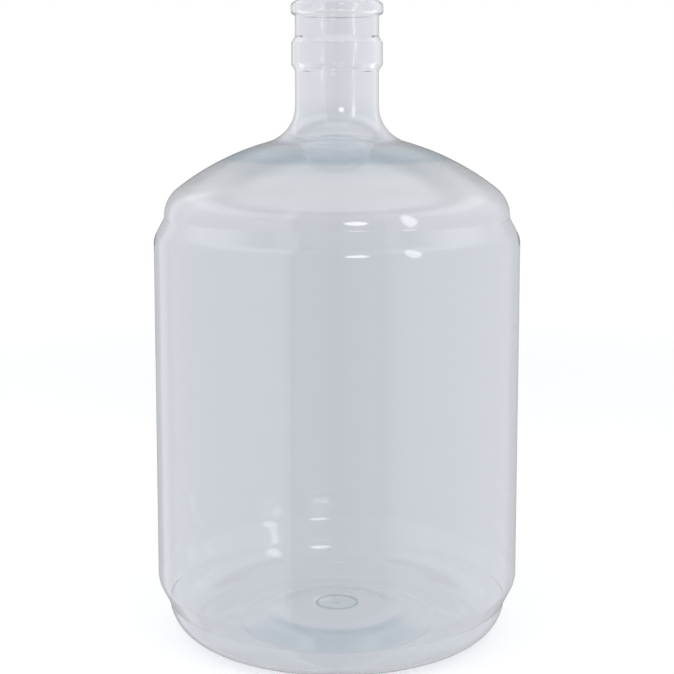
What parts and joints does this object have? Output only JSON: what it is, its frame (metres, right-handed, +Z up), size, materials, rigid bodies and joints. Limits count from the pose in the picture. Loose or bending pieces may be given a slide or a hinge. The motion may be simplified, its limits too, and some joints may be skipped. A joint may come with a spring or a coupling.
{
  "type": "carboy",
  "caption": "Clear plastic carboy: round blown bottle with a spherical shoulder, stepped waist and heel, and a narrow banded neck for a stopper or push-on cap.",
  "frame": {"origin": "on the axis, in the plane of the standing ring", "axes": "+Z up the bottle's axis, from the base out of the mouth; X and Y are any two radial directions"},
  "size_m": [0.2311, 0.2312, 0.401],
  "materials": {
    "clear_plastic": "gloss"
  },
  "bodies": {
    "root": {"carboy": "clear_plastic"}
  },
  "joints": []
}
